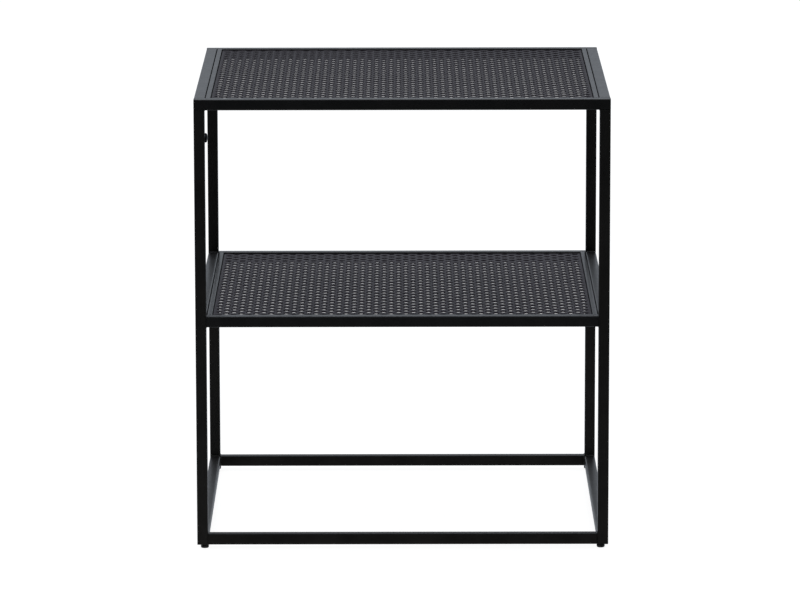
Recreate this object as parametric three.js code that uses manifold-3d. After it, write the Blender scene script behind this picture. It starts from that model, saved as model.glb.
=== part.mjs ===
// Two-tier side table: a rigid square-tube frame, two lift-out steel panels,
// and four screw-in levelling feet.
// Millimetres, +Z up. Origin on the floor under the middle of the table.
// +X is the table's right side, -Y is its front.

import * as THREE from 'three';
import * as BufferGeometryUtils from 'three/addons/utils/BufferGeometryUtils.js';
import Module from 'manifold-3d';

// ---------------------------------------------------------------- dimensions
const WIDTH = 500;            // outside of the legs, along X
const DEPTH = 450;            // outside of the legs, along Y
const HEIGHT = 552;           // floor to the top of the frame
const FRAME_BOTTOM = 4.8;     // underside of the base rails above the floor
const SHELF_TOP = 287.3;      // top of the shelf rails above the floor

const TUBE = 13.2;            // square tube, outside, with its coating
const WALL = 1.2;             // tube wall
const TUBE_R = 1.5;           // outside corner radius
const TUBE_CORNER_STEPS = 3;
const BORE = TUBE - 2 * WALL;
const BORE_R = 0.5;           // inside corner radius
const BORE_CORNER_STEPS = 1;

const LEG_X = (WIDTH - TUBE) / 2;     // leg axes
const LEG_Y = (DEPTH - TUBE) / 2;
const INNER_X = WIDTH / 2 - TUBE;     // inner faces of the frame
const INNER_Y = DEPTH / 2 - TUBE;
const LEG_LENGTH = HEIGHT - TUBE - FRAME_BOTTOM;   // legs stand under the top rails

const SHANK_SIDE = BORE - 0.1;        // square shank that fits inside a tube
const SHANK_R = 0.8;
const SHANK_CORNER_STEPS = 2;
const PLUG_T = 1.2;           // head of the plug that closes an open rail end
const PLUG_L = 9;             // its shank inside the rail
const PLUG_OVERLAP = 0.2;     // shank runs into the head

const SIDE_GAP = 1.0;         // between a side rail and the panel carrier bar
const BAR_W = 5.6;            // carrier bar, seen from above
const BAR_CHAMFER = 0.6;
const LEDGE_W = 4.0;          // ledge of the carrier bar under the panel
const LEDGE_T = 1.5;
const BAR_OUTER = INNER_X - SIDE_GAP;

const SHEET = 1.2;            // panel sheet
const RECESS = 1.8;           // panel surface below the rail tops
const PANEL_GAP = 1.0;        // around the panel
const PANEL_SEAT = 0.1;       // coating film between panel and ledge
const PANEL_X = BAR_OUTER - BAR_W - PANEL_GAP;     // half sizes
const PANEL_Y = INNER_Y - PANEL_GAP;
const LIP_DROP = 9.0;         // turned-down front and rear edge of a panel
const LIP_INSET = 8.0;        // lips stop short of the panel's sides

const BAR_SCREW_Y = 150;      // carrier bar screws, fore and aft of the middle
const BAR_SCREW_DROP = 8.55;  // below the rail tops
const SIDE_SCREW_Z = 504.8;   // button-head screw on the front left leg

// Threads are not modelled. Each nut's flange lies on the face of the tube.
const M4_NUT = {
  threadR: 1.95, barrelR: 2.95, length: 7, flangeR: 4.1, flangeT: SIDE_GAP, segments: 16,
};
const M4_SCREW = {            // countersunk
  shankR: 1.95, reach: 6, tipChamfer: 0.4, headR: 3.7, headH: 1.9, rimH: 0.15,
  socketR: 1.3, socketDepth: 1.1, segments: 20,
};
const M6_NUT = {
  threadR: 2.95, barrelR: 4.4, length: 8, flangeR: 5.6, flangeT: 0.5, segments: 24,
};
const M6_SCREW = {            // button head
  shankR: 2.95, reach: 7, tipChamfer: 0.5, headR: 5.8, headH: 2.6, rimH: 0.5,
  socketR: 2.0, socketDepth: 2.0, segments: 24,
};
const RUN_GAP = 0.05;         // radial clearance of a running thread
const NUT_HOLE_GAP = 0.05;    // radial clearance round a rivet nut barrel
const SCREW_HOLE_GAP = 0.1;   // radial clearance round a screw shank
const SINK_GAP = 0.15;        // countersink round and under the screw head
const SINK_RIM = 0.05;        // depth of the countersink's straight rim

const FOOT_OFFSET = 2.4;      // foot axis inward of the leg axis, along X
const INSERT_L = 14.5;
const STUD = { radius: 1.95, top: 18.4, tipChamfer: 0.5 };
const COLLAR = { radius: 3.0, bottom: 1.6, top: 2.6 };
const PAD = { radius: 5.0, height: 3.7, holeR: 1.6, bottomChamfer: 0.6, topChamfer: 0.7 };
const PAD_GAP = 0.1;          // between the pad and the stud with its collar

const WALL_DRILL = { start: 2, length: 6 };   // from the tube axis, through one wall
const OVERCUT = 2;            // cutting tools run past the surfaces they open

const SIDES = [['left', -1], ['right', 1]];   // name, sign of X
const ENDS = [['front', -1], ['rear', 1]];    // name, sign of Y
const CORNERS = ENDS.flatMap(([end, endSign]) =>
  SIDES.map(([side, sideSign]) => [`${end}_${side}`, sideSign, endSign]));

// Levels that carry a panel, then all levels: name, height of the rail tops.
const PANEL_LEVELS = [['top', HEIGHT], ['shelf', SHELF_TOP]];
const LEVELS = [...PANEL_LEVELS, ['base', FRAME_BOTTOM + TUBE]];

// ---------------------------------------------------------------- materials
const material = (name, look) => new THREE.MeshStandardMaterial({ name, ...look });
const frameCoat = material('frame_coat', { color: 0x17181a, roughness: 0.48, metalness: 0.15 });
const panelCoat = material('panel_coat', { color: 0x1c1d20, roughness: 0.5, metalness: 0.15 });
const blackSteel = material('black_steel', { color: 0x121214, roughness: 0.35, metalness: 0.8 });
const zincSteel = material('zinc_steel', { color: 0x9a9ca0, roughness: 0.35, metalness: 1.0 });
const nylon = material('nylon', { color: 0x101011, roughness: 0.6, metalness: 0 });
const padPlastic = material('pad_plastic', { color: 0x0e0e0f, roughness: 0.65, metalness: 0 });

// ---------------------------------------------------------------- solids
const wasm = await Module();
wasm.setup();

function toSolid(geometry) {
  const bare = geometry.clone();
  bare.deleteAttribute('normal');
  bare.deleteAttribute('uv');
  const merged = BufferGeometryUtils.mergeVertices(bare, 1e-4);
  return new wasm.Manifold(new wasm.Mesh({
    numProp: 3,
    vertProperties: new Float32Array(merged.attributes.position.array),
    triVerts: new Uint32Array(merged.index.array),
  }));
}

function toGeometry(solid) {
  const mesh = solid.getMesh();
  const geometry = new THREE.BufferGeometry();
  const positions = new Float32Array(mesh.vertProperties);
  geometry.setAttribute('position', new THREE.BufferAttribute(positions, 3));
  geometry.setIndex(new THREE.BufferAttribute(new Uint32Array(mesh.triVerts), 1));
  geometry.computeVertexNormals();
  return geometry;
}

const cut = (body, ...tools) =>
  toGeometry(tools.reduce((solid, tool) => solid.subtract(toSolid(tool)), toSolid(body)));
const join = (body, ...others) =>
  toGeometry(others.reduce((solid, other) => solid.add(toSolid(other)), toSolid(body)));

// ---------------------------------------------------------------- basic shapes
const vectors = (pairs) => pairs.map(([x, y]) => new THREE.Vector2(x, y));

// Shape run from 0 along +Z.
const extrude = (shape, length) =>
  new THREE.ExtrudeGeometry(shape, { depth: length, bevelEnabled: false });

// Square outline with rounded corners, centred on the axis.
function squarePoints(side, radius, steps) {
  const offset = side / 2 - radius;
  const centres = [[offset, offset], [-offset, offset], [-offset, -offset], [offset, -offset]];
  return centres.flatMap(([x, y], quarter) => Array.from({ length: steps + 1 }, (_, i) => {
    const angle = (quarter + i / steps) * Math.PI / 2;
    return new THREE.Vector2(x + radius * Math.cos(angle), y + radius * Math.sin(angle));
  }));
}

const tubeOutline = () => new THREE.Shape(squarePoints(TUBE, TUBE_R, TUBE_CORNER_STEPS));

function tube(length) {
  const shape = tubeOutline();
  const bore = squarePoints(BORE, BORE_R, BORE_CORNER_STEPS);
  shape.holes.push(new THREE.Path(bore.reverse()));
  return extrude(shape, length);
}

// Solid square shank that fits inside a tube.
const shank = (length) =>
  extrude(new THREE.Shape(squarePoints(SHANK_SIDE, SHANK_R, SHANK_CORNER_STEPS)), length);

// Turned piece about +Z from [radius, height] pairs that start and end on the axis.
// LatheGeometry turns about +Y, so the result is tipped to stand along +Z.
const turned = (profile, segments) =>
  new THREE.LatheGeometry(vectors(profile), segments).rotateX(Math.PI / 2);

// Ring about +Z from a closed [radius, height] outline.
const ring = (profile, segments) => turned([...profile, profile[0]], segments);

const rod = (radius, length, segments) =>
  new THREE.CylinderGeometry(radius, radius, length, segments)
    .rotateX(Math.PI / 2)
    .translate(0, 0, length / 2);

const block = (x0, x1, y0, y1, z0, z1) =>
  new THREE.BoxGeometry(x1 - x0, y1 - y0, z1 - z0)
    .translate((x0 + x1) / 2, (y0 + y1) / 2, (z0 + z1) / 2);

// +Z turns to +X, or to -X when the sign is negative.
const alongX = (geometry, sign = 1) =>
  geometry.rotateY(Math.PI / 2).rotateZ(sign < 0 ? Math.PI : 0);
// +Z turns to +Y, and +Y to -Z.
const alongY = (geometry) => geometry.rotateX(-Math.PI / 2);

const table = new THREE.Group();
const frame = new THREE.Group();
table.add(frame);

function add(parent, name, geometry, surface, x = 0, y = 0, z = 0) {
  const mesh = new THREE.Mesh(geometry, surface);
  mesh.name = name;
  mesh.position.set(x, y, z);
  parent.add(mesh);
}

// ---------------------------------------------------------------- frame
// Tool for a rivet nut hole through the tube wall on the side the sign gives.
const nutHole = (nut, segments, sign, y, z) => {
  const drill = rod(nut.barrelR + NUT_HOLE_GAP, WALL_DRILL.length, segments);
  return alongX(drill.translate(0, 0, WALL_DRILL.start), sign).translate(0, y, z);
};

function leg(corner) {
  const plain = tube(LEG_LENGTH);
  if (corner !== 'front_left') return plain;
  return cut(plain, nutHole(M6_NUT, 24, 1, 0, SIDE_SCREW_Z - FRAME_BOTTOM));
}

// Moulded plug for an open end of a long top rail, head towards +Z.
const railPlug = () => join(
  extrude(tubeOutline(), PLUG_T),
  shank(PLUG_L + PLUG_OVERLAP).translate(0, 0, -PLUG_L),
);

function sideRail(level, sideSign) {
  const rail = alongY(tube(2 * INNER_Y));
  if (level === 'base') return rail;
  const drills = ENDS.map(([, endSign]) => nutHole(
    M4_NUT, 16, -sideSign, INNER_Y + endSign * BAR_SCREW_Y, TUBE / 2 - BAR_SCREW_DROP,
  ));
  return cut(rail, ...drills);
}

for (const [corner, sideSign, endSign] of CORNERS) {
  add(frame, `leg_${corner}`, leg(corner), frameCoat,
    sideSign * LEG_X, endSign * LEG_Y, FRAME_BOTTOM);
}

for (const [corner, sideSign, endSign] of CORNERS) {
  add(frame, `top_rail_plug_${corner}`, alongX(railPlug(), sideSign), nylon,
    sideSign * (WIDTH / 2 - PLUG_T), endSign * LEG_Y, HEIGHT - TUBE / 2);
}

for (const [level, top] of LEVELS) {
  const z = top - TUBE / 2;
  for (const [side, sideSign] of SIDES) {
    add(frame, `${level}_side_rail_${side}`, sideRail(level, sideSign), frameCoat,
      sideSign * LEG_X, -INNER_Y, z);
  }
  // The long top rails lie over the legs. The shelf and base rails meet them.
  const half = level === 'top' ? WIDTH / 2 - PLUG_T : INNER_X;
  for (const [end, endSign] of ENDS) {
    add(frame, `${level}_${end}_rail`, alongX(tube(2 * half)), frameCoat,
      -half, endSign * LEG_Y, z);
  }
}

// ---------------------------------------------------------------- fasteners
// All point along +Z, with 0 at the face of the tube that holds the nut.
function rivetNut({ threadR, barrelR, length, flangeR, flangeT, segments }) {
  const holeR = threadR + RUN_GAP;
  return ring([
    [holeR, -length], [barrelR, -length], [barrelR, 0], [flangeR, 0],
    [flangeR, flangeT], [holeR, flangeT],
  ], segments);
}

// Screw with its own head outline, closed by a round socket in the head's top.
function screw(spec, headOutline, top) {
  const { shankR, reach, tipChamfer, socketR, socketDepth, segments } = spec;
  return turned([
    [0, -reach], [shankR - tipChamfer, -reach], [shankR, tipChamfer - reach],
    ...headOutline,
    [socketR, top], [socketR, top - socketDepth], [0, top - socketDepth],
  ], segments);
}

function barScrew() {
  const { shankR, headR, headH, rimH } = M4_SCREW;
  const top = SIDE_GAP + BAR_W;
  return screw(M4_SCREW, [[shankR, top - headH], [headR, top - rimH], [headR, top]], top);
}

function sideScrew() {
  const { shankR, headR, headH, rimH } = M6_SCREW;
  const seat = M6_NUT.flangeT;
  // dome of the head, as fractions of its radius and height
  const dome = [[0.93, 0.45], [0.74, 0.78], [0.5, 1]];
  return screw(M6_SCREW, [
    [shankR, seat], [headR, seat], [headR, seat + rimH],
    ...dome.map(([across, up]) => [headR * across, seat + headH * up]),
  ], seat + headH);
}

// ---------------------------------------------------------------- panel carrier bars
// Tool for a countersunk hole through a bar, from its outer face at 0 along +Z.
function countersink() {
  const holeR = M4_SCREW.shankR + SCREW_HOLE_GAP;
  const sinkR = M4_SCREW.headR + SINK_GAP;
  return turned([
    [0, -OVERCUT], [holeR, -OVERCUT], [holeR, BAR_W - M4_SCREW.headH - SINK_GAP],
    [sinkR, BAR_W - SINK_RIM], [sinkR, BAR_W + OVERCUT], [0, BAR_W + OVERCUT],
  ], 20);
}

// A bar beside each side rail: its top edge is level with the rails and
// its ledge holds the panel.
function carrierBar(sideSign) {
  const chamfer = BAR_CHAMFER;
  const ledgeTop = RECESS + SHEET + PANEL_SEAT;
  const ledgeBottom = ledgeTop + LEDGE_T;
  const ledgeEdge = BAR_W + LEDGE_W;
  // distance towards the middle of the table, distance below the rail tops
  const outline = [
    [0, TUBE - chamfer], [chamfer, TUBE], [BAR_W - chamfer, TUBE], [BAR_W, TUBE - chamfer],
    [BAR_W, ledgeBottom], [ledgeEdge, ledgeBottom], [ledgeEdge, ledgeTop], [BAR_W, ledgeTop],
    [BAR_W, chamfer], [BAR_W - chamfer, 0], [chamfer, 0], [0, chamfer],
  ];
  const section = new THREE.Shape(vectors(outline.map(([x, y]) => [-sideSign * x, y])));
  const drills = ENDS.map(([, endSign]) => alongX(countersink(), -sideSign)
    .translate(0, INNER_Y + endSign * BAR_SCREW_Y, -BAR_SCREW_DROP));
  return cut(alongY(extrude(section, 2 * INNER_Y)), ...drills);
}

for (const [level, top] of PANEL_LEVELS) {
  for (const [side, sideSign] of SIDES) {
    add(frame, `${level}_carrier_bar_${side}`, carrierBar(sideSign), frameCoat,
      sideSign * BAR_OUTER, -INNER_Y, top);
    // The nut sits in the side rail and its flange fills the gap to the bar.
    for (const [end, endSign] of ENDS) {
      const place = [sideSign * INNER_X, endSign * BAR_SCREW_Y, top - BAR_SCREW_DROP];
      add(frame, `${level}_rivet_nut_${side}_${end}`, alongX(rivetNut(M4_NUT), -sideSign),
        zincSteel, ...place);
      add(frame, `${level}_bar_screw_${side}_${end}`, alongX(barScrew(), -sideSign),
        blackSteel, ...place);
    }
  }
}

// ---------------------------------------------------------------- panels
// A shallow channel open downwards. The sheet is drawn unpierced; its round
// holes are a surface pattern.
function panel() {
  const lipX = PANEL_X - LIP_INSET;
  const lipInner = PANEL_Y - SHEET;
  return join(
    block(-PANEL_X, PANEL_X, -PANEL_Y, PANEL_Y, -SHEET, 0),
    block(-lipX, lipX, -PANEL_Y, -lipInner, -LIP_DROP, -SHEET / 2),
    block(-lipX, lipX, lipInner, PANEL_Y, -LIP_DROP, -SHEET / 2),
  );
}

for (const [level, top] of PANEL_LEVELS) {
  add(table, `${level}_panel`, panel(), panelCoat, 0, 0, top - RECESS);
}

// ---------------------------------------------------------------- side screw
const sideScrewPlace = [-INNER_X, -LEG_Y, SIDE_SCREW_Z];
add(frame, 'side_screw_rivet_nut', alongX(rivetNut(M6_NUT)), zincSteel, ...sideScrewPlace);
add(frame, 'side_screw', alongX(sideScrew()), blackSteel, ...sideScrewPlace);

// ---------------------------------------------------------------- feet
// Threaded plug pressed into the open bottom of a leg.
function legInsert(sideSign) {
  const bore = rod(STUD.radius + RUN_GAP, INSERT_L + 2 * OVERCUT, 24);
  return cut(shank(INSERT_L), bore.translate(-sideSign * FOOT_OFFSET, 0, -OVERCUT));
}

// Threaded stud with a collar held in the pad's socket.
function footStud() {
  const { radius, top, tipChamfer } = STUD;
  return turned([
    [0, COLLAR.bottom], [COLLAR.radius, COLLAR.bottom], [COLLAR.radius, COLLAR.top],
    [radius, COLLAR.top], [radius, top - tipChamfer], [radius - tipChamfer, top], [0, top],
  ], 20);
}

// Moulded pad, hollow round the stud's collar.
function footPad() {
  const { radius, height, holeR, bottomChamfer, topChamfer } = PAD;
  const neckR = STUD.radius + PAD_GAP;
  const socketR = COLLAR.radius + PAD_GAP;
  const socketTop = COLLAR.top + PAD_GAP;
  const socketBottom = COLLAR.bottom - PAD_GAP;
  return ring([
    [holeR, 0], [radius - bottomChamfer, 0], [radius, bottomChamfer],
    [radius, height - topChamfer], [radius - topChamfer, height],
    [neckR, height], [neckR, socketTop], [socketR, socketTop],
    [socketR, socketBottom], [holeR, socketBottom],
  ], 24);
}

for (const [corner, sideSign, endSign] of CORNERS) {
  add(frame, `leg_insert_${corner}`, legInsert(sideSign), nylon,
    sideSign * LEG_X, endSign * LEG_Y, FRAME_BOTTOM);

  const foot = new THREE.Group();
  foot.position.set(sideSign * (LEG_X - FOOT_OFFSET), endSign * LEG_Y, 0);
  table.add(foot);
  add(foot, `foot_stud_${corner}`, footStud(), zincSteel);
  add(foot, `foot_pad_${corner}`, footPad(), padPlastic);
}

export default table;
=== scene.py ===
"""A two-level steel stand. Four square-tube legs are joined by top, shelf and base rails,
pierced sheet panels lie on the top and the shelf, and each leg ends in a screw foot.

It is centred on the z axis and stands on the floor at z = 0: left is -x, right +x,
front -y and rear +y.
"""

import math

import bpy
import bmesh
import numpy as np
from mathutils import Matrix, Vector
from mathutils.geometry import delaunay_2d_cdt

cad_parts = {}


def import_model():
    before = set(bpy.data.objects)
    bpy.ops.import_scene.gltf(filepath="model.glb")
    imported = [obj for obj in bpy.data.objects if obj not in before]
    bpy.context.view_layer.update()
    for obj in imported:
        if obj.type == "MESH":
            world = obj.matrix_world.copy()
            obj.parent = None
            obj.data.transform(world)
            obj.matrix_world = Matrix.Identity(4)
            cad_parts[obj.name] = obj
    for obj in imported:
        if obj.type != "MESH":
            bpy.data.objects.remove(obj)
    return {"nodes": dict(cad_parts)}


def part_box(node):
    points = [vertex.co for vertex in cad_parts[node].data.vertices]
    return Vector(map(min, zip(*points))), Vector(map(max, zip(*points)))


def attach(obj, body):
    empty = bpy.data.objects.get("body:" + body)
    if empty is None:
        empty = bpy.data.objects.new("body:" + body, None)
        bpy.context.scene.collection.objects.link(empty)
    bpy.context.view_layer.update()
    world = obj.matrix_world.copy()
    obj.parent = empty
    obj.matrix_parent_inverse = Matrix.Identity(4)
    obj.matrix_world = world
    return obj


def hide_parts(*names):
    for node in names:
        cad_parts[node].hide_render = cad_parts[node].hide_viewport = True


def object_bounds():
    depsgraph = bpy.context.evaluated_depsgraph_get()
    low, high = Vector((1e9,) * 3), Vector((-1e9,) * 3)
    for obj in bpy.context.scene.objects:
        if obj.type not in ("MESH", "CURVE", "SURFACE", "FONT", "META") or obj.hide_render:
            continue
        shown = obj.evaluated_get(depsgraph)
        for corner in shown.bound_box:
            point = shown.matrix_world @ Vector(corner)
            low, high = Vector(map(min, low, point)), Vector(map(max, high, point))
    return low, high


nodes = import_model()["nodes"]
cad_lo, cad_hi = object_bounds()

MM = 0.001
SHARP_ANGLE = 32.0             # degrees; edges that turn more than this are shaded sharp
LEVELS = ("top", "shelf", "base")
SIDES = (("left", -1), ("right", 1))
ENDS = ("front", "rear")
# name, sign of x, sign of y
CORNERS = [("front_left", -1, -1), ("front_right", 1, -1),
           ("rear_left", -1, 1), ("rear_right", 1, 1)]


# ------------------------------------------------------------------ node trees
class Nodes:
    """Short hand for building the node tree of a material or a world."""

    def __init__(self, owner, output_kind):
        owner.use_nodes = True
        self.tree = owner.node_tree
        self.tree.nodes.clear()
        self.output = self.node(output_kind)

    def put(self, socket, value):
        """Links a socket, or sets a plain value."""
        if isinstance(value, bpy.types.NodeSocket):
            self.tree.links.new(value, socket)
        else:
            socket.default_value = value

    def node(self, kind, inputs=None, **settings):
        """Adds a node; inputs are keyed by socket name or index."""
        node = self.tree.nodes.new("ShaderNode" + kind)
        for key, value in settings.items():
            setattr(node, key, value)
        for key, value in (inputs or {}).items():
            self.put(node.inputs[key], value)
        return node

    def surface(self, node):
        self.put(self.output.inputs["Surface"], node.outputs[0])

    def position(self):
        """Place in the object's own space, in metres."""
        return self.node("TexCoord").outputs["Object"]

    def math(self, operation, a, b, clamp=False):
        return self.node("Math", {0: a, 1: b, 2: 0.0},
                         operation=operation, use_clamp=clamp).outputs[0]

    def drift(self, value, noise, span, clamp=False):
        """Value moved up and down by a noise, over the given span."""
        shift = self.math("MULTIPLY", self.math("SUBTRACT", noise, 0.5), span)
        return self.math("ADD", value, shift, clamp=clamp)

    def ramp(self, factor, low, high):
        """Colour ramp between two (position, colour) stops."""
        node = self.node("ValToRGB", {0: factor})
        for element, (position, colour) in zip(node.color_ramp.elements, (low, high)):
            element.position = position
            element.color = (*colour, 1)
        return node.outputs["Color"]

    def mix(self, factor, a, b):
        """Colour mix; a and b are sockets or RGB tuples."""
        a, b = (v if isinstance(v, bpy.types.NodeSocket) else (*v, 1) for v in (a, b))
        return self.node("Mix", {0: factor, 6: a, 7: b}, data_type="RGBA").outputs[2]

    def noise(self, vector, scale, detail, roughness):
        return self.node("TexNoise", {"Scale": scale, "Detail": detail, "Roughness": roughness,
                                      "Vector": vector}).outputs["Fac"]

    def smooth_range(self, value, from_min, from_max, to_min, to_max):
        return self.node("MapRange", {"Value": value, "From Min": from_min, "From Max": from_max,
                                      "To Min": to_min, "To Max": to_max},
                         interpolation_type="SMOOTHSTEP").outputs[0]

    def bump(self, strength, distance, height):
        return self.node("Bump", {"Strength": strength, "Distance": distance,
                                  "Height": height}).outputs[0]


# ------------------------------------------------------------------ materials
def new_material(name):
    material = bpy.data.materials.new(name)
    return material, Nodes(material, "OutputMaterial")


def powder_coat(name, base, roughness, specular, span=0.10, tint=(1.0, 1.0, 1.0)):
    """Powder coat on steel: sand grain, orange peel, cloudy gloss and specks of dust.
    span is how far the roughness drifts."""
    material, m = new_material(name)
    pos = m.position()
    grain = m.noise(pos, scale=2600.0, detail=2.0, roughness=0.6)    # about 0.4 mm
    peel = m.noise(pos, scale=620.0, detail=2.0, roughness=0.5)      # about 1.6 mm
    cloud = m.noise(pos, scale=34.0, detail=4.0, roughness=0.6)      # slow drift
    blotch = m.noise(pos, scale=140.0, detail=3.0, roughness=0.55)
    speck = m.node("TexVoronoi", {"Scale": 900.0, "Randomness": 1.0, "Vector": pos})
    # darker and lighter drift of the base colour
    coat = m.ramp(cloud, low=(0.3, tuple(c * 0.82 for c in base)),
                  high=(0.7, tuple(c * 1.22 for c in base)))
    # rare pale specks of dust caught in the coat
    dot = m.math("LESS_THAN", speck.outputs["Distance"], 0.10)
    patch = m.noise(pos, scale=75.0, detail=1.0, roughness=0.5)
    dots = m.math("MULTIPLY", dot, m.math("GREATER_THAN", patch, 0.64))
    colour = m.mix(m.math("MULTIPLY", dots, 0.12), coat, (0.16, 0.16, 0.165))
    # rub marks: patches that are a touch smoother
    mapping = m.node("Mapping", {"Scale": (1.0, 1.0, 1.0), "Vector": pos})
    rub = m.noise(mapping.outputs[0], scale=60.0, detail=6.0, roughness=0.75)
    rub = m.math("GREATER_THAN", rub, 0.66)
    rough = m.drift(roughness, blotch, span)
    rough = m.drift(rough, cloud, span * 0.8)
    rough = m.math("SUBTRACT", rough, m.math("MULTIPLY", rub, 0.035), clamp=True)
    height = m.math("ADD", m.math("MULTIPLY", grain, 0.35), m.math("MULTIPLY", peel, 0.65))
    normal = m.bump(strength=0.32, distance=0.06 * MM, height=height)
    m.surface(m.node("BsdfPrincipled", {
        "Metallic": 0.0, "IOR": 1.5, "Base Color": colour, "Roughness": rough,
        "Normal": normal, "Specular IOR Level": specular, "Specular Tint": (*tint, 1)}))
    return material


def turned_metal(name, base, dark, roughness):
    """Plated or blackened steel with a fine grain and small darker stains."""
    material, m = new_material(name)
    pos = m.position()
    fine = m.noise(pos, scale=2800.0, detail=3.0, roughness=0.6)
    stain = m.noise(pos, scale=260.0, detail=4.0, roughness=0.65)
    cloud = m.noise(pos, scale=900.0, detail=2.0, roughness=0.5)
    colour = m.ramp(stain, low=(0.32, dark), high=(0.62, base))
    rough = m.drift(roughness, cloud, 0.28, clamp=True)
    normal = m.bump(strength=0.25, distance=0.04 * MM, height=fine)
    m.surface(m.node("BsdfPrincipled", {
        "Metallic": 1.0, "Base Color": colour, "Roughness": rough, "Normal": normal}))
    return material


def moulded(name, base, roughness, grain_scale, bloom_amount):
    """Moulded plastic or rubber: fine grain and a slight pale bloom."""
    material, m = new_material(name)
    pos = m.position()
    grain = m.noise(pos, scale=grain_scale, detail=3.0, roughness=0.7)
    bloom = m.noise(pos, scale=210.0, detail=4.0, roughness=0.6)
    cover = m.math("SUBTRACT", bloom, 0.42, clamp=True)
    colour = m.mix(m.math("MULTIPLY", cover, bloom_amount), base, (0.13, 0.128, 0.12))
    rough = m.drift(roughness, bloom, 0.22, clamp=True)
    normal = m.bump(strength=0.4, distance=0.08 * MM, height=grain)
    m.surface(m.node("BsdfPrincipled", {
        "Metallic": 0.0, "IOR": 1.49, "Base Color": colour, "Roughness": rough,
        "Normal": normal}))
    return material


WARM_TINT = (1.0, 0.96, 0.90)
VIOLET_TINT = (1.0, 0.86, 1.0)

FRAME_COAT = powder_coat("frame_powder_coat", base=(0.0088, 0.0088, 0.0090),
                         roughness=0.36, specular=0.5)
LEG_COAT = powder_coat("leg_powder_coat", base=(0.0098, 0.0095, 0.0092),
                       roughness=0.37, specular=0.47, tint=WARM_TINT)
# darker, rougher copy of the frame coat: painted shade for the recessed ledge faces under the
# panel edges
PAINTED_SHADE_COAT = powder_coat("recess_painted_shade_coat", base=(0.0060, 0.0060, 0.0064),
                          roughness=0.82, specular=0.10, span=0.08)
PANEL_COAT = powder_coat("panel_powder_coat", base=(0.0112, 0.0098, 0.0128),
                         roughness=0.62, specular=0.34, tint=VIOLET_TINT)
# the top panel's coat, painted lighter and given more sheen to make up for the shade the top
# casts on the shelf
SHELF_COAT_PAINTED_LIGHTER = powder_coat("shelf_panel_coat_painted_lighter", base=(0.0180, 0.0158, 0.0200),
                         roughness=0.62, specular=0.46, tint=VIOLET_TINT)
BASE_COAT = powder_coat("base_powder_coat", base=(0.0104, 0.0100, 0.0096),
                        roughness=0.42, specular=0.20, tint=WARM_TINT)
BLACK_STEEL = turned_metal("black_oxide_steel", base=(0.020, 0.020, 0.022),
                           dark=(0.011, 0.011, 0.012), roughness=0.38)
ZINC = turned_metal("zinc_plated_steel", base=(0.52, 0.53, 0.55),
                    dark=(0.36, 0.36, 0.37), roughness=0.32)
NYLON = moulded("moulded_nylon", base=(0.010, 0.010, 0.0105), roughness=0.46,
                grain_scale=1800.0, bloom_amount=0.25)
RUBBER = moulded("foot_rubber", base=(0.009, 0.009, 0.009), roughness=0.62,
                 grain_scale=1400.0, bloom_amount=0.35)


# ------------------------------------------------------------------ mesh helpers
def mm(points):
    """Points given in millimetres, in metres."""
    return [(a * MM, b * MM) for a, b in points]


def box_and_centre(node):
    lo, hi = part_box(node)
    return lo, hi, (lo + hi) / 2


def mark_sharp(mesh, angle):
    mesh.set_sharp_from_angle(angle=math.radians(angle))


def new_object(name, verts, faces, material, angle=SHARP_ANGLE):
    mesh = bpy.data.meshes.new(name)
    mesh.from_pydata([tuple(v) for v in verts], [], faces)
    mesh.validate()
    mesh.materials.append(material)
    mesh.shade_smooth()
    mark_sharp(mesh, angle)
    mesh.update()
    obj = bpy.data.objects.new(name, mesh)
    bpy.context.scene.collection.objects.link(obj)
    return obj


def solid(name, verts, faces, material, angle=SHARP_ANGLE):
    """Object whose faces all point outwards."""
    obj = new_object(name, verts, faces, material, angle)
    bm = bmesh.new()
    bm.from_mesh(obj.data)
    bmesh.ops.recalc_face_normals(bm, faces=bm.faces)
    bm.to_mesh(obj.data)
    bm.free()
    return obj


def place(obj, body, slot, *replaced):
    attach(obj, body)
    if replaced:
        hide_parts(*replaced)


def band(a, b, count):
    """Quads between two closed loops that start at vertices a and b."""
    return [(a + i, a + (i + 1) % count, b + (i + 1) % count, b + i) for i in range(count)]


def prism_faces(start, count):
    """Two caps and the sides of a prism: one outline, then the other."""
    end = start + count
    faces = [tuple(range(start, end)), tuple(range(end + count - 1, end - 1, -1))]
    for i in range(count):
        j = (i + 1) % count
        faces.append((start + i, end + i, end + j, start + j))
    return faces


def turned(name, profile, segments, origin, axis, material, angle=SHARP_ANGLE,
           reshape=None, closed=False):
    """Piece turned about axis from a (radius, height) profile, radius 0 at the poles.
    A closed profile gives a ring. reshape(row, angle, radius, height) alters the radius."""
    axis = Vector(axis).normalized()
    side = axis.orthogonal().normalized()
    other = axis.cross(side)
    origin = Vector(origin)
    verts, rings = [], []              # a ring is (first vertex, is it a pole)
    for row, (radius, height) in enumerate(profile):
        pole = radius <= 1e-9
        rings.append((len(verts), pole))
        if pole:
            verts.append(origin + axis * height)
            continue
        for i in range(segments):
            turn = 2 * math.pi * i / segments
            r = reshape(row, turn, radius, height) if reshape else radius
            spoke = (side * math.cos(turn) + other * math.sin(turn)) * r
            verts.append(origin + axis * height + spoke)
    faces = []
    following = rings[1:] + (rings[:1] if closed else [])
    for (a, a_pole), (b, b_pole) in zip(rings, following):
        if a_pole:
            faces += [(a, b + (i + 1) % segments, b + i) for i in range(segments)]
        elif b_pole:
            faces += [(a + i, a + (i + 1) % segments, b) for i in range(segments)]
        else:
            faces += band(a, b, segments)
    return solid(name, verts, faces, material, angle)


def rod_cutter(radius, start, end):
    start, end = Vector(start), Vector(end)
    length = (end - start).length
    profile = [(0, 0), (radius, 0), (radius, length), (0, length)]
    return turned("cutter", profile, 32, start, end - start, FRAME_COAT)


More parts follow.
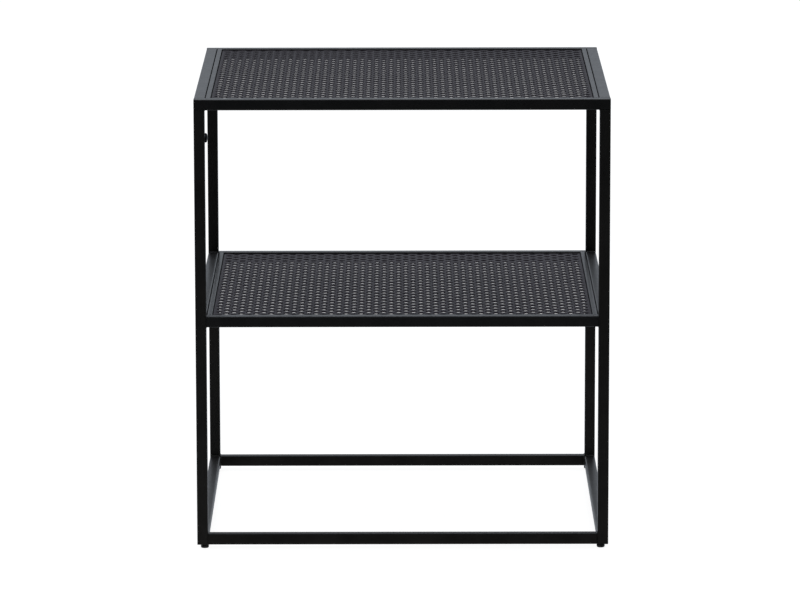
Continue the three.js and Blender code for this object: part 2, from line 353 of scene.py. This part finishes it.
def hex_cutter(across, depth, origin, axis):
    """Tool for a hexagon socket, entering against axis at origin."""
    radius = across / math.sqrt(3)
    slack = 1 * MM
    profile = [(0, -depth), (radius, -depth), (radius, slack), (0, slack)]
    return turned("cutter", profile, 6, origin, axis, BLACK_STEEL)


def difference(obj, cutters, angle=SHARP_ANGLE):
    """Cuts the cutters out of obj, for good."""
    for cutter in cutters:
        mod = obj.modifiers.new("cut", "BOOLEAN")
        mod.operation = "DIFFERENCE"
        mod.solver = "EXACT"
        mod.object = cutter
    bpy.context.view_layer.update()
    depsgraph = bpy.context.evaluated_depsgraph_get()
    mesh = bpy.data.meshes.new_from_object(obj.evaluated_get(depsgraph))
    obj.modifiers.clear()
    old = obj.data
    obj.data = mesh
    mesh.name = old.name + "_cut"
    bpy.data.meshes.remove(old)
    for cutter in cutters:
        data = cutter.data
        bpy.data.objects.remove(cutter)
        bpy.data.meshes.remove(data)
    mesh.shade_smooth()
    mark_sharp(mesh, angle)


def corner_loop(half_u, half_v, radius, inset=0.0, steps=6):
    """Rectangle with round corners; inset draws the whole loop in."""
    points = []
    r = radius - inset
    for quarter, (sign_u, sign_v) in enumerate(((1, 1), (-1, 1), (-1, -1), (1, -1))):
        u, v = sign_u * (half_u - radius), sign_v * (half_v - radius)
        for i in range(steps + 1):
            a = (quarter + i / steps) * math.pi / 2
            points.append((u + r * math.cos(a), v + r * math.sin(a)))
    return points


def rounded(outline, radii, steps=4):
    """Rounds the corners of a closed 2D outline by the given radii."""
    points = []
    for i, (corner, radius) in enumerate(zip(outline, radii)):
        corner = Vector(corner)
        a = (Vector(outline[i - 1]) - corner).normalized()
        b = (Vector(outline[(i + 1) % len(outline)]) - corner).normalized()
        half = math.acos(a.dot(b)) / 2
        back = radius / math.tan(half)
        centre = corner + (a + b).normalized() * (radius / math.sin(half))
        start, end = corner + a * back - centre, corner + b * back - centre
        total = math.acos(start.dot(end) / (start.length * end.length))
        turn = 1 if start.x * end.y - start.y * end.x > 0 else -1
        for k in range(steps + 1):
            t = turn * total * k / steps
            points.append((centre.x + start.x * math.cos(t) - start.y * math.sin(t),
                           centre.y + start.x * math.sin(t) + start.y * math.cos(t)))
    return points


# ------------------------------------------------------------------ tubes
TUBE_CORNER = 1.5 * MM
TUBE_INNER_CORNER = 0.35 * MM
TUBE_WALL = 1.2 * MM
TUBE_NICK = 0.14 * MM          # breaks the outer edge of each cut end
BAR_SCREW_HOLE = 3.0 * MM      # radii of the holes in the tube walls
SIDE_SCREW_HOLE = 4.45 * MM


def square_tube(name, lo, hi, material):
    """Tube along the longest side of the box lo..hi, open at both ends."""
    size = hi - lo
    axis = max(range(3), key=lambda i: size[i])
    u, v = (axis + 1) % 3, (axis + 2) % 3
    mid = (lo + hi) / 2
    half_u, half_v, half_length = size[u] / 2, size[v] / 2, size[axis] / 2
    outer = corner_loop(half_u, half_v, TUBE_CORNER)
    nicked = corner_loop(half_u, half_v, TUBE_CORNER, inset=TUBE_NICK)
    inner = corner_loop(half_u - TUBE_WALL, half_v - TUBE_WALL, TUBE_INNER_CORNER)
    # distance along the tube, loop; the last loop joins the first through the bore
    stations = [(-half_length, inner), (-half_length, nicked),
                (-half_length + TUBE_NICK, outer), (half_length - TUBE_NICK, outer),
                (half_length, nicked), (half_length, inner)]
    count = len(outer)
    verts, faces = [], []
    for s, (along, loop) in enumerate(stations):
        for loop_u, loop_v in loop:
            point = [0, 0, 0]
            point[axis], point[u], point[v] = mid[axis] + along, mid[u] + loop_u, mid[v] + loop_v
            verts.append(point)
        faces += band(s * count, (s + 1) % len(stations) * count, count)
    obj = solid(name, verts, faces, material)
    mark_sharp(obj.data, SHARP_ANGLE)
    return obj


def wall_hole(radius, wall_x, screw):
    """Cutter through a tube wall at wall_x, on the axis of a screw."""
    c = box_and_centre(screw)[2]
    return rod_cutter(radius, (wall_x - 2 * MM, c.y, c.z), (wall_x + 2 * MM, c.y, c.z))


def tube_material(name):
    if name in ("base_front_rail", "base_rear_rail"):
        return BASE_COAT
    return LEG_COAT if name.startswith(("leg", "base")) else FRAME_COAT


def frame_tube(name):
    lo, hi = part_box(name)
    obj = square_tube(name + "_tube", lo, hi, tube_material(name))
    cuts = []
    if "side_rail" in name and not name.startswith("base"):
        level, side = name.split("_")[0], name.rsplit("_", 1)[1]
        inner_x = hi.x if side == "left" else lo.x
        cuts = [wall_hole(BAR_SCREW_HOLE, inner_x, f"{level}_bar_screw_{side}_{end}")
                for end in ENDS]
    if name == "leg_front_left":
        cuts = [wall_hole(SIDE_SCREW_HOLE, hi.x, "side_screw")]
    if cuts:
        difference(obj, cuts)
    place(obj, "frame", "frame_coat", name)


TUBES = [f"leg_{corner}" for corner, _, _ in CORNERS]
TUBES += [f"{level}_side_rail_{side}" for level in LEVELS for side, _ in SIDES]
TUBES += [f"{level}_{end}_rail" for level in LEVELS for end in ENDS]
for tube_name in TUBES:
    frame_tube(tube_name)


# ------------------------------------------------------------------ carrier bars
BAR_WIDTH = 5.6 * MM
LEDGE_WIDTH = 4.0 * MM         # ledge beyond the bar, towards the middle
LEDGE_DROP = 3.1 * MM          # top of the bar to top of the ledge
LEDGE_THICKNESS = 1.5 * MM
RECESS_DEPTH = 1.5 * MM        # upward faces deeper than this carry the darker coat of painted shade
BAR_CORNERS = [r * MM for r in (0.6, 0.6, 0.3, 0.5, 0.5, 0.3, 0.7, 0.7)]
# (radius, height out of the bar's inner face), mm
COUNTERSINK = mm([(0, -8), (2.05, -8), (2.05, -2.05), (3.85, -0.05), (3.85, 2), (0, 2)])


def carrier_bar(level, side, sign):
    """Angle bar along y on the inside of a side rail, drilled for two screws."""
    node = f"{level}_carrier_bar_{side}"
    lo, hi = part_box(node)
    inward = -sign
    outer_x = lo.x if sign < 0 else hi.x
    face_x = outer_x + inward * BAR_WIDTH
    tip_x = outer_x + inward * (BAR_WIDTH + LEDGE_WIDTH)
    ledge_z = hi.z - LEDGE_DROP
    under_z = ledge_z - LEDGE_THICKNESS
    outline = rounded([(outer_x, lo.z), (face_x, lo.z), (face_x, under_z), (tip_x, under_z),
                       (tip_x, ledge_z), (face_x, ledge_z), (face_x, hi.z), (outer_x, hi.z)],
                      BAR_CORNERS)
    verts = [(x, y, z) for y in (lo.y, hi.y) for x, z in outline]
    bar = solid(f"{node}_angle", verts, prism_faces(0, len(outline)), FRAME_COAT)
    cuts = []
    for end in ENDS:
        c = box_and_centre(f"{level}_bar_screw_{side}_{end}")[2]
        cuts.append(turned("cutter", COUNTERSINK, 32, (face_x, c.y, c.z), (inward, 0, 0),
                           FRAME_COAT))
    difference(bar, cuts)
    # the ledge faces deep under the panel edge get the darker coat: painted shade in the recess
    bar.data.materials.append(PAINTED_SHADE_COAT)
    for polygon in bar.data.polygons:
        if polygon.normal.z > 0.5 and polygon.center.z < hi.z - RECESS_DEPTH:
            polygon.material_index = 1
    place(bar, "frame", "frame_coat", node)


for level in ("top", "shelf"):
    for side, sign in SIDES:
        carrier_bar(level, side, sign)


# ------------------------------------------------------------------ pierced panels
HOLE_RADIUS = 4.25 * MM
HOLE_SIDES = 20
PITCH = 9.08 * MM              # between columns, and between rows; every other place is pierced
HALF_COLUMNS, HALF_ROWS = 25, 23
BEND = 1.6 * MM                # outer radius of the bend into each lip
LIP_INSET = 8.0 * MM           # from the panel's side edge to the lip's end
LIP_TIP = 0.3 * MM             # chamfer on the lip's lower edges
# material, sheet thickness, how far the hole edges are rolled, bore radius
SHEETS = {"top_panel": (PANEL_COAT, 1.14 * MM, 0.33 * MM, HOLE_RADIUS),
          "shelf_panel": (SHELF_COAT_PAINTED_LIGHTER, 1.29 * MM, 0.06 * MM, HOLE_RADIUS - 0.12 * MM)}
CIRCLE = [(math.cos(2 * math.pi * k / HOLE_SIDES), math.sin(2 * math.pi * k / HOLE_SIDES))
          for k in range(HOLE_SIDES)]
HOLES = [((i - HALF_COLUMNS + 0.5) * PITCH, (j - HALF_ROWS + 0.5) * PITCH)
         for i in range(2 * HALF_COLUMNS) for j in range(2 * HALF_ROWS)
         if (i + j - HALF_COLUMNS - HALF_ROWS) % 2 == 0]


def flat_sheet(outline, lip_x, bend_y, hole_radius):
    """Triangulated sheet with its holes left open: 2D points, triangles, and where each
    input point (the outline, then the hole rims) went."""
    points = [Vector(p) for p in outline]
    edges = [(i, (i + 1) % len(outline)) for i in range(len(outline))]
    for x, y in HOLES:
        start = len(points)
        points += [Vector((x + hole_radius * c, y + hole_radius * s)) for c, s in CIRCLE]
        edges += [(start + k, start + (k + 1) % HOLE_SIDES) for k in range(HOLE_SIDES)]
    new_points, _, new_faces, origins, _, _ = delaunay_2d_cdt(points, edges, [], 1, 1e-7)
    flat = np.array([(p.x, p.y) for p in new_points])
    triangles = np.array(new_faces)
    # drop triangles that lie in a hole, or in the notches at the front and rear
    x, y = flat[triangles].mean(1).T
    keep = np.ones(len(triangles), bool)
    for di in (-1, 0, 1):
        for dj in (-1, 0, 1):
            column, row = np.floor(x / PITCH) + di, np.floor(y / PITCH) + dj
            pierced = (((column + HALF_COLUMNS + row + HALF_ROWS) % 2 == 0)
                       & (abs(column + 0.5) < HALF_COLUMNS) & (abs(row + 0.5) < HALF_ROWS))
            distance2 = (x - (column + 0.5) * PITCH) ** 2 + (y - (row + 0.5) * PITCH) ** 2
            keep &= ~(pierced & (distance2 < (hole_radius * 0.97) ** 2))
    keep &= ~((abs(y) > bend_y) & (abs(x) < lip_x))
    triangles = triangles[keep]
    a, b, c = (flat[triangles[:, k]] for k in range(3))
    area = np.cross(b - a, c - a)
    triangles[area < 0] = triangles[area < 0][:, ::-1]
    index = {source: i for i, sources in enumerate(origins) for source in sources}
    return flat, triangles.tolist(), index


def lip_profile(half_y, bend_y, top, bottom, thickness):
    """(y, z) section of a turned-down lip: outer bend, lower tip, inner bend."""
    def arc(radius, steps):
        angles = [math.pi / 2 * k / 6 for k in steps]
        return [(bend_y + radius * math.sin(a), top - BEND + radius * math.cos(a))
                for a in angles]

    inner_y = half_y - thickness
    tip = [(half_y, bottom + LIP_TIP), (half_y - LIP_TIP, bottom),
           (inner_y + LIP_TIP, bottom), (inner_y, bottom + LIP_TIP)]
    return arc(BEND, range(7)) + tip + arc(BEND - thickness, range(6, -1, -1))


def pierced_panel(node):
    """Sheet centred on the z axis, with lips turned down at the front and rear."""
    lo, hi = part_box(node)
    material, thickness, roll, bore_radius = SHEETS[node]
    top, half_x, half_y = hi.z, hi.x, hi.y
    lip_x, bend_y = half_x - LIP_INSET, half_y - BEND
    # notched where each lip folds down
    outline = [(-half_x, -half_y), (-lip_x, -half_y), (-lip_x, -bend_y), (lip_x, -bend_y),
               (lip_x, -half_y), (half_x, -half_y), (half_x, half_y), (lip_x, half_y),
               (lip_x, bend_y), (-lip_x, bend_y), (-lip_x, half_y), (-half_x, half_y)]
    flat, triangles, index = flat_sheet(outline, lip_x, bend_y, bore_radius + roll)

    # upper and lower skins, then the upper and lower rings of the bores
    n = len(flat)
    bore = (np.array(HOLES)[:, None, :] + bore_radius * np.array(CIRCLE)[None]).reshape(-1, 2)
    m = len(bore)
    verts = []
    for points, z in ((flat, top), (flat, top - thickness),
                      (bore, top - roll), (bore, top - thickness + roll)):
        verts += np.column_stack([points, np.full(len(points), z)]).tolist()
    faces = [tuple(t) for t in triangles]
    faces += [(c + n, b + n, a + n) for a, b, c in triangles]
    for i in range(len(outline)):
        a, b = index[i], index[(i + 1) % len(outline)]
        faces.append((a, a + n, b + n, b))
    # each hole: rolled top edge, bore, rolled bottom edge
    for hole in range(len(HOLES)):
        first = hole * HOLE_SIDES
        for k in range(HOLE_SIDES):
            i, j = first + k, first + (k + 1) % HOLE_SIDES
            a, b = index[len(outline) + i], index[len(outline) + j]
            c, d = 2 * n + i, 2 * n + j
            faces.append((d, c, a, b))
            faces.append((d + m, c + m, c, d))
            faces.append((b + n, a + n, c + m, d + m))
    profile = lip_profile(half_y, bend_y, top, lo.z, thickness)
    for sign in (-1, 1):
        lip_faces = prism_faces(len(verts), len(profile))
        faces += lip_faces if sign > 0 else [f[::-1] for f in lip_faces]
        verts += [(x, sign * y, z) for x in (-lip_x, lip_x) for y, z in profile]
    obj = solid(node + "_pierced", verts, faces, material, angle=50.0)
    mark_sharp(obj.data, 50.0)
    place(obj, node, "panel_coat", node)


for node in SHEETS:
    pierced_panel(node)


# ------------------------------------------------------------------ weld beads
BEAD_STEP = 0.42 * MM          # between sections along a bead
BEAD_TAPER = 1.1 * MM          # length over which each end swells up
BEAD_RIPPLE = 1.25 * MM        # pitch of the ripples
BEAD_ROOT = 0.35 * MM          # how far the root is sunk into the corner
BEAD_ARC = 7                   # points across the face
WELD_MARGIN = 1.3 * MM         # beads stop this far from the tube edges
FIRST_BEAD_SEED = 12
# level, axis the bead runs along, its place on the rail (-1 under, 1 over, 0 beside it),
# leg of the fillet in mm
WELDS = [
    ("top", "y", -1, 1.0),
    ("top", "x", -1, 1.1),
    ("shelf", "x", 1, 1.2),
    ("shelf", "x", -1, 1.2),
    ("shelf", "z", 0, 0.9),
    ("shelf", "y", -1, 1.0),
    ("base", "y", 1, 1.2),
    ("base", "x", 1, 1.2),
    ("base", "z", 0, 1.6),
]
RAILS = {"top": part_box("top_front_rail"),
         "shelf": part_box("shelf_side_rail_left"),
         "base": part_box("base_side_rail_left")}
TUBE_SIZE = RAILS["top"][1].z - RAILS["top"][0].z
LEG_INNER_X = cad_hi.x - TUBE_SIZE
LEG_INNER_Y = cad_hi.y - TUBE_SIZE


def weld_bead(verts, faces, start, end, side_a, side_b, leg, seed):
    """Rippled, slightly convex fillet from start to end, in the corner between the
    directions side_a and side_b."""
    start, end, side_a, side_b = Vector(start), Vector(end), Vector(side_a), Vector(side_b)
    along = end - start
    length = along.length
    steps = max(8, int(length / BEAD_STEP))
    wobble = np.random.default_rng(seed).uniform(-1, 1, steps + 1)
    out = (side_a + side_b).normalized()
    base = len(verts)
    for s in range(steps + 1):
        u = s / steps
        swell = math.sqrt(min(1.0, min(u, 1 - u) * length / BEAD_TAPER + 0.15))
        ripple = 1 + 0.07 * math.sin(2 * math.pi * u * length / BEAD_RIPPLE) + 0.03 * wobble[s]
        size = leg * swell * ripple
        root = start + along * u
        verts.append(root - (side_a + side_b) * BEAD_ROOT)
        for k in range(BEAD_ARC):
            t = k / (BEAD_ARC - 1)
            # flat chord pushed out by a shallow arch
            chord = side_a * (size * (1 - t)) + side_b * (size * t)
            verts.append(root + chord + out * (0.16 * size * math.sin(math.pi * t)))
    count = BEAD_ARC + 1
    last = base + steps * count
    for a in range(base, last, count):
        faces += band(a, a + count, count)
    faces.append(tuple(range(base, base + count)))
    faces.append(tuple(range(last + count - 1, last - 1, -1)))


def weld_line(sx, sy, level, run, edge):
    """Start, end and the two side directions of a bead at the corner with signs sx, sy."""
    x, y = sx * LEG_INNER_X, sy * LEG_INNER_Y
    low, high = (corner.z for corner in RAILS[level])
    z = high if edge > 0 else low
    if run == "x":
        start = (sx * (cad_hi.x - WELD_MARGIN), y, z)
        return start, (sx * (LEG_INNER_X + WELD_MARGIN), y, z), (0, -sy, 0), (0, 0, edge)
    if run == "y":
        start = (x, sy * (cad_hi.y - WELD_MARGIN), z)
        return start, (x, sy * (LEG_INNER_Y + WELD_MARGIN), z), (-sx, 0, 0), (0, 0, edge)
    return (x, y, low + WELD_MARGIN), (x, y, high - WELD_MARGIN), (-sx, 0, 0), (0, -sy, 0)


def weld_beads():
    beads = {level: ([], []) for level in LEVELS}
    seed = FIRST_BEAD_SEED
    for _, sx, sy in CORNERS:
        for level, run, edge, leg in WELDS:
            weld_bead(*beads[level], *weld_line(sx, sy, level, run, edge), leg * MM, seed)
            seed += 1
    for level, (verts, faces) in beads.items():
        coat = LEG_COAT if level == "base" else FRAME_COAT
        place(solid(f"{level}_weld_beads", verts, faces, coat, angle=60.0),
              "frame", "frame_coat")


weld_beads()


# ------------------------------------------------------------------ rail plugs
# depth behind the outer face, inset from the plug's half width, corner radius, mm
PLUG_SHANK_AND_RIM = [(10.2, 1.75, 0.8), (9.4, 1.32, 0.8), (1.2, 1.25, 0.8),
                      (1.2, 0.1, 1.4), (1.1, 0.0, 1.5)]
PLUG_CENTRE = (0.0, 2.4, 1.2)
PLUG_EDGE_DEPTH = 0.5          # where the rounding of the face starts, mm
PLUG_EDGE_ROUND = 0.45         # its radius, mm
PLUG_EDGE_STEPS = 5


def rail_plug(corner, sx):
    """Square plug in the outer end of a top rail, with a softly domed face."""
    node = f"top_rail_plug_{corner}"
    lo, hi, centre = box_and_centre(node)
    face_x = hi.x if sx > 0 else lo.x
    half = (hi.z - lo.z) / 2
    stations = list(PLUG_SHANK_AND_RIM)
    for k in range(PLUG_EDGE_STEPS + 1):
        a = math.pi / 2 * k / PLUG_EDGE_STEPS
        stations.append((PLUG_EDGE_DEPTH - PLUG_EDGE_ROUND * math.sin(a),
                         PLUG_EDGE_ROUND * (1 - math.cos(a)), 1.5))
    stations.append(PLUG_CENTRE)
    verts = []
    for depth, inset, radius in stations:
        width = half - inset * MM
        for y, z in corner_loop(width, width, radius * MM):
            verts.append((face_x - sx * depth * MM, centre.y + y, centre.z + z))
    count = len(verts) // len(stations)
    last = len(verts) - count
    faces = [tuple(range(count)), tuple(range(len(verts) - 1, last - 1, -1))]
    for a in range(0, last, count):
        faces += band(a, a + count, count)
    place(solid(node + "_moulded", verts, faces, NYLON, angle=40.0),
          "frame", "plug_nylon", node)


for corner, sx, _ in CORNERS:
    rail_plug(corner, sx)


# ------------------------------------------------------------------ screws
def side_screw():
    """Button-head screw on the inner face of the front left leg, pointing to +x."""
    lo, hi, centre = box_and_centre("side_screw")
    seat_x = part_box("side_screw_rivet_nut")[1].x
    height = hi.x - seat_x
    head = (hi.z - lo.z) / 2
    crown, crown_start = 2.6 * MM, 0.45 * MM       # flat radius, height where the dome starts
    profile = mm([(0, -7.0), (2.3, -7.0), (2.9, -6.4), (2.9, 0)])
    profile += [(head - 0.25 * MM, 0), (head, 0.2 * MM)]
    for k in range(1, 11):
        a = math.pi / 2 * k / 10
        profile.append((crown + (head - crown) * math.cos(a),
                        crown_start + (height - crown_start) * math.sin(a)))
    profile.append((0, height))
    axis = (1, 0, 0)
    screw = turned("side_screw_button_head", profile, 48, (seat_x, centre.y, centre.z), axis,
                   BLACK_STEEL, angle=40.0)
    socket = hex_cutter(across=4.0 * MM, depth=2.0 * MM,
                        origin=(seat_x + height, centre.y, centre.z), axis=axis)
    difference(screw, [socket], angle=40.0)
    place(screw, "frame", "black_steel", "side_screw")


def bar_screw(node, inward):
    """Countersunk screw in a carrier bar, its head facing the middle."""
    lo, hi, centre = box_and_centre(node)
    origin = (hi.x if inward > 0 else lo.x, centre.y, centre.z)
    axis = (inward, 0, 0)
    length = hi.x - lo.x
    profile = [(0, -length), (1.45 * MM, -length), (1.9 * MM, -length + 0.5 * MM)]
    profile += mm([(1.9, -2.0), (3.6, -0.2), (3.7, -0.1), (3.62, 0), (0, 0)])
    screw = turned(node + "_countersunk", profile, 40, origin, axis, BLACK_STEEL, angle=40.0)
    socket = hex_cutter(across=2.5 * MM, depth=1.3 * MM, origin=origin, axis=axis)
    difference(screw, [socket], angle=40.0)
    place(screw, "frame", "black_steel", node)


side_screw()
for level in ("top", "shelf"):
    for side, sign in SIDES:
        for end in ENDS:
            bar_screw(f"{level}_bar_screw_{side}_{end}", -sign)


# ------------------------------------------------------------------ feet
THREAD_PITCH = 0.7 * MM
THREAD_DEPTH = 0.33 * MM
THREAD_CORE = 1.62 * MM
ROWS_PER_PITCH = 8
# (radius, height above the stud's lower end), mm
STUD_COLLAR = mm([(0, 0), (2.8, 0), (3.0, 0.15), (3.0, 0.85), (2.85, 1.0), (1.62, 1.0)])

PAD_RIBS = 20
PAD_RIB_DEPTH = 0.16 * MM
PAD_RIB_ROWS = (8, 9, 10)      # profile rows that carry the ribs
# (radius, height), mm: the ringed sole and the hollow inside
PAD_SOLE = mm([(1.6, 0), (2.6, 0), (2.75, 0.25), (3.05, 0.25), (3.2, 0.0)])
PAD_HOLLOW = mm([(2.05, 2.7), (3.1, 2.7), (3.1, 1.5), (1.6, 1.5)])
# (inset from the pad's radius, height), mm
PAD_LOWER_RIM = mm([(1.35, 0), (0.85, 0.1), (0.45, 0.42), (0.22, 0.9), (0.1, 1.35)])
# (inset from the pad's radius, depth below its top), mm
PAD_UPPER_RIM = mm([(0, 1.25), (0, 1.0), (0.1, 0.6), (0.4, 0.22), (0.9, 0)])


def thread_height(t):
    """Height of the thread, 0..1, over one pitch."""
    t = t % 1.0
    if t < 0.12:
        return 0.0
    if t < 0.5:
        return (t - 0.12) / 0.38
    if t < 0.62:
        return 1.0
    return 1.0 - (t - 0.62) / 0.38


def foot_stud(corner):
    """Threaded stud with a collar at its lower end."""
    node = f"foot_stud_{corner}"
    lo, hi, centre = box_and_centre(node)
    z0, z1 = lo.z + 1.2 * MM, hi.z - 0.5 * MM      # ends of the thread
    rows = int((z1 - z0) / THREAD_PITCH * ROWS_PER_PITCH)
    profile = [(r, lo.z + z) for r, z in STUD_COLLAR]
    first = len(profile)
    profile += [(THREAD_CORE, z0 + (z1 - z0) * k / rows) for k in range(rows + 1)]
    profile += [(1.25 * MM, hi.z), (0, hi.z)]

    def threaded(row, angle, radius, z):
        if row < first or row > first + rows:
            return radius
        # the thread runs out over one pitch at each end
        run = min(1.0, (z - z0) / THREAD_PITCH) * min(1.0, (z1 - z) / THREAD_PITCH)
        turn = z / THREAD_PITCH - angle / (2 * math.pi)
        return radius + THREAD_DEPTH * max(run, 0) * thread_height(turn)

    obj = turned(node + "_threaded", profile, 32, (centre.x, centre.y, 0), (0, 0, 1), ZINC,
                 angle=45.0, reshape=threaded)
    place(obj, node, "zinc_steel", node)


def foot_pad(corner):
    """Moulded pad with ribs around its side and a ringed sole."""
    node = f"foot_pad_{corner}"
    lo, hi, centre = box_and_centre(node)
    pad_radius = (hi.x - lo.x) / 2
    height = hi.z - lo.z
    profile = PAD_SOLE + [(pad_radius - inset, z) for inset, z in PAD_LOWER_RIM]
    profile += [(pad_radius - inset, height - depth) for inset, depth in PAD_UPPER_RIM]
    profile += [(2.35 * MM, height), (2.05 * MM, height - 0.3 * MM)] + PAD_HOLLOW

    def ribbed(row, angle, radius, z):
        if row not in PAD_RIB_ROWS:
            return radius
        return radius - PAD_RIB_DEPTH * (0.5 - 0.5 * math.cos(PAD_RIBS * angle)) ** 0.7

    obj = turned(node + "_moulded", profile, PAD_RIBS * 6, (centre.x, centre.y, lo.z),
                 (0, 0, 1), RUBBER, angle=40.0, reshape=ribbed, closed=True)
    place(obj, node, "pad_rubber", node)


for corner, _, _ in CORNERS:
    foot_stud(corner)
    foot_pad(corner)


# ------------------------------------------------------------------ CAD nodes that stay
def finish_node(obj, material):
    """Gives a CAD piece its material, smooth shading and softened edges."""
    for slot in obj.material_slots:
        slot.material = material
    if obj.data.has_custom_normals:
        normals = obj.data.attributes.get("custom_normal")
        if normals:
            obj.data.attributes.remove(normals)
    obj.data.shade_smooth()
    weld = obj.modifiers.new("weld", "WELD")
    weld.merge_threshold = 1e-6
    mark_sharp(obj.data, SHARP_ANGLE)
    bevel = obj.modifiers.new("edge", "BEVEL")
    bevel.width = 0.12 * MM
    bevel.segments = 2
    bevel.limit_method = "ANGLE"
    bevel.angle_limit = math.radians(40)


for name in nodes:
    if "rivet_nut" in name:
        finish_node(nodes[name], ZINC)
    elif name.startswith("leg_insert"):
        finish_node(nodes[name], NYLON)


# ------------------------------------------------------------------ studio
FLOOR_HALF = 16.0


def floor_material():
    """White floor that glows by itself and is clear from below."""
    material, m = new_material("studio_floor")
    pos = m.position()
    tone = m.noise(pos, scale=1.3, detail=3.0, roughness=0.5)
    colour = m.ramp(tone, low=(0.3, (0.24, 0.24, 0.24)), high=(0.7, (0.26, 0.26, 0.26)))
    diffuse = m.node("BsdfDiffuse", {"Color": colour})
    # the camera sees an even glow; the light given to the stand comes mostly from nearby
    away = m.node("VectorMath", {0: pos}, operation="LENGTH").outputs["Value"]
    glow = m.smooth_range(away, from_min=0.45, from_max=1.9, to_min=0.95, to_max=0.06)
    seen = m.node("LightPath").outputs["Is Camera Ray"]
    strength = m.node("Mix", {0: seen, 2: glow, 3: 0.935}, data_type="FLOAT").outputs[0]
    emission = m.node("Emission", {"Color": (1, 1, 1, 1), "Strength": strength})
    lit = m.node("AddShader", {0: diffuse.outputs[0], 1: emission.outputs[0]})
    clear = m.node("BsdfTransparent")
    below = m.node("NewGeometry").outputs["Backfacing"]
    m.surface(m.node("MixShader", {0: below, 1: lit.outputs[0], 2: clear.outputs[0]}))
    return material


def studio_floor():
    s = FLOOR_HALF
    floor = new_object("studio_floor", [(-s, -s, 0), (s, -s, 0), (s, s, 0), (-s, s, 0)],
                       [(0, 1, 2, 3)], floor_material())
    floor.visible_glossy = False


def studio_world():
    """Light from the rear and from overhead; plain white to the camera."""
    world = bpy.data.worlds.new("studio")
    bpy.context.scene.world = world
    w = Nodes(world, "OutputWorld")
    direction = w.node("SeparateXYZ", {0: w.node("TexCoord").outputs["Generated"]})
    rear = w.smooth_range(direction.outputs["Y"], from_min=-0.25, from_max=0.45,
                          to_min=0.035, to_max=0.58)
    above = w.smooth_range(direction.outputs["Z"], from_min=0.35, from_max=0.95,
                           to_min=0.0, to_max=0.55)
    strength = w.node("Math", {0: rear, 1: above}, operation="MAXIMUM").outputs[0]
    lit = w.node("Background", {"Color": (0.92, 0.99, 1.09, 1), "Strength": strength})
    plain = w.node("Background", {"Color": (1, 1, 1, 1), "Strength": 1.02})
    seen = w.node("LightPath").outputs["Is Camera Ray"]
    w.surface(w.node("MixShader", {0: seen, 1: lit.outputs[0], 2: plain.outputs[0]}))


def softbox(name, location, size, power):
    """Rectangular light aimed at the stand."""
    data = bpy.data.lights.new(name, "AREA")
    data.shape = "RECTANGLE"
    data.size, data.size_y = size
    data.energy = power
    obj = bpy.data.objects.new(name, data)
    bpy.context.scene.collection.objects.link(obj)
    obj.location = location
    aim = Vector((0, 0, 0.3)) - Vector(location)
    obj.rotation_euler = aim.to_track_quat("-Z", "Y").to_euler()
    obj.visible_camera = False


def studio_camera():
    """Long lens at the front, looking slightly down."""
    data = bpy.data.cameras.new("camera")
    data.sensor_fit = "HORIZONTAL"
    data.sensor_width = 36.0
    data.lens = 230.3055
    data.clip_start, data.clip_end = 0.1, 100.0
    camera = bpy.data.objects.new("camera", data)
    bpy.context.scene.collection.objects.link(camera)
    location = (-0.0037, -6.286, 1.4622)
    pitch_down = math.radians(10.7853)
    yaw = math.radians(-0.0075)
    roll = math.radians(-0.0922)
    camera.matrix_world = (Matrix.Translation(location)
                           @ Matrix.Rotation(yaw, 4, "Z")
                           @ Matrix.Rotation(math.radians(90) - pitch_down, 4, "X")
                           @ Matrix.Rotation(roll, 4, "Z"))
    bpy.context.scene.camera = camera


studio_floor()
studio_world()
softbox("overhead_softbox", location=(0.0, 0.9, 3.2), size=(3.0, 2.4), power=25)
softbox("left_strip", location=(-3.0, 0.4, 1.6), size=(0.8, 2.2), power=6)
softbox("right_strip", location=(3.0, 0.4, 1.6), size=(0.8, 2.2), power=6)
studio_camera()
bpy.context.scene.view_settings.view_transform = "Standard"
bpy.context.scene.view_settings.look = "None"
